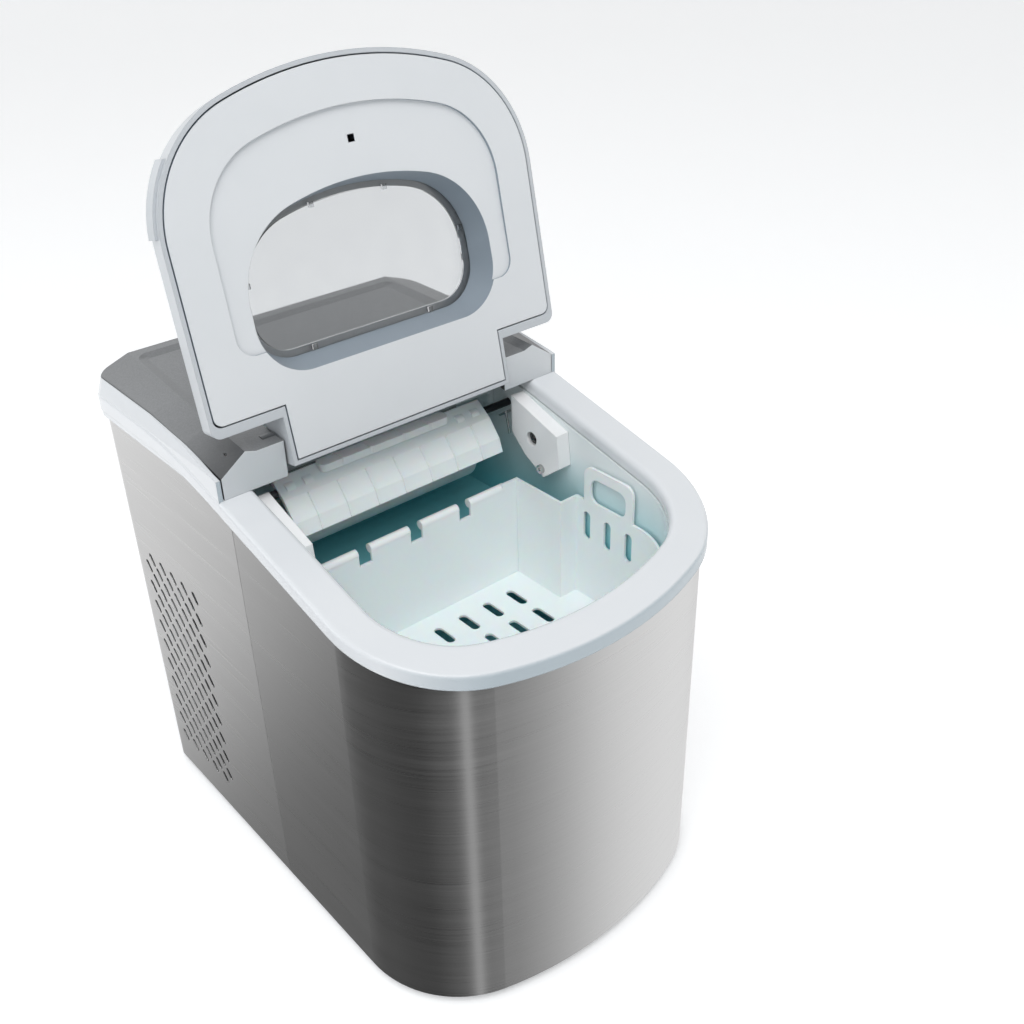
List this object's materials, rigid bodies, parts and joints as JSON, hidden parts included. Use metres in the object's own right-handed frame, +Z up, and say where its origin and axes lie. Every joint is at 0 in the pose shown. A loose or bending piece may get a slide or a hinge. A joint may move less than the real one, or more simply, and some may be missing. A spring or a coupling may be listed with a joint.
{
  "type": "countertop ice maker",
  "caption": "Countertop ice maker with bowed steel cabinet, sloping white rim, hinged lid with window, lift-out basket and tilting ice tray.",
  "frame": {"origin": "on the counter, in the middle of the body in plan", "axes": "+X across to the right seen from the front, +Y towards the rear housing, +Z up"},
  "size_m": [0.242, 0.332, 0.4898],
  "materials": {
    "white_plastic": "satin moulded",
    "grey_plastic": "metallic paint",
    "brushed_steel": "brushed",
    "clear_plastic": "clear",
    "translucent_white": "translucent",
    "zinc_steel": "zinc plated sheet",
    "chrome_steel": "polished",
    "rubber": "moulded",
    "foam": "expanded foam",
    "black_plastic": "moulded",
    "overlay_film": "printed film, blank",
    "button_plastic": "satin",
    "lens_plastic": "tinted",
    "circuit_board": "solder mask",
    "black_paint": "gloss black",
    "aluminium_fins": "mill",
    "copper": "copper tube",
    "silicone_hose": "silicone"
  },
  "bodies": {
    "cabinet": {"base_plate": "zinc_steel", "bracket_screws": "chrome_steel", "compressor": "black_paint", "compressor_grommets": "rubber", "condenser": "aluminium_fins", "control_board": "circuit_board", "control_overlay": "overlay_film", "discharge_pipe": "copper", "drain_hose": "silicone_hose", "drain_socket": "white_plastic", "evaporator": "chrome_steel", "evaporator_bridge": "white_plastic", "fan_motor": "black_plastic", "fan_shroud": "black_plastic", "filter_drier": "copper", "foot_front_left": "rubber", "foot_front_right": "rubber", "foot_rear_left": "rubber", "foot_rear_right": "rubber", "front_wrap": "brushed_steel", "gas_valve": "black_plastic", "indicator_lens": "lens_plastic", "infrared_sensor_left": "black_plastic", "infrared_sensor_right": "black_plastic", "main_board": "circuit_board", "power_gland": "black_plastic", "pump_hose": "silicone_hose", "rear_housing": "grey_plastic", "rear_panel": "zinc_steel", "refrigerant_line": "copper", "retaining_wire": "chrome_steel", "sensor_bracket_left": "white_plastic", "sensor_bracket_right": "white_plastic", "shovel_motor": "black_plastic", "side_panel_left": "brushed_steel", "side_panel_right": "brushed_steel", "suction_pipe": "copper", "tank": "white_plastic", "tank_foam": "foam", "top_frame": "white_plastic", "tray_motor": "black_plastic", "water_pump": "black_plastic"},
    "lid": {"lid_shell": "white_plastic", "lid_panel": "white_plastic", "lid_window": "clear_plastic", "window_clips": "clear_plastic", "hinge_pins": "chrome_steel"},
    "shovel": {"ice_shovel": "translucent_white", "shovel_shaft": "chrome_steel"},
    "tray": {"water_tray": "translucent_white"},
    "basket": {"ice_basket": "translucent_white"},
    "power_key": {"power_button": "button_plastic"},
    "size_key": {"size_button": "button_plastic"},
    "fan": {"fan_rotor": "black_plastic"},
    "drain_plug": {"drain_cap": "rubber"}
  },
  "joints": [
    {"name": "lid_hinge", "type": "hinge", "parent": "cabinet", "child": "lid", "pos_m": [0, 0.0225, 0.30152], "axis": [1, 0, 0], "range_deg": [0, 114.9]},
    {"name": "shovel_hinge", "type": "hinge", "parent": "cabinet", "child": "shovel", "pos_m": [0, 0.033, 0.26194], "axis": [1, 0, 0], "range_deg": [-45, 14]},
    {"name": "tray_tilt", "type": "hinge", "parent": "cabinet", "child": "tray", "pos_m": [0, 0.056, 0.23], "axis": [1, 0, 0], "range_deg": [0, 40]},
    {"name": "basket_lift", "type": "slide", "parent": "cabinet", "child": "basket", "axis": [0, 0, 1], "range_m": [0, 0.012]},
    {"name": "power_press", "type": "slide", "parent": "cabinet", "child": "power_key", "axis": [0, 0.0471, -0.9989], "range_m": [0, 0.001], "stiffness_N_per_m": 600, "springref_m": -0.001},
    {"name": "size_press", "type": "slide", "parent": "cabinet", "child": "size_key", "axis": [0, 0.0471, -0.9989], "range_m": [0, 0.001], "stiffness_N_per_m": 600, "springref_m": -0.001},
    {"name": "fan_spin", "type": "hinge", "parent": "cabinet", "child": "fan", "pos_m": [0, 0.104, 0.11], "axis": [1, 0, 0], "continuous": true},
    {"name": "drain_pull", "type": "slide", "parent": "cabinet", "child": "drain_plug", "axis": [0, 1, 0], "range_m": [0, 0.015]}
  ]
}
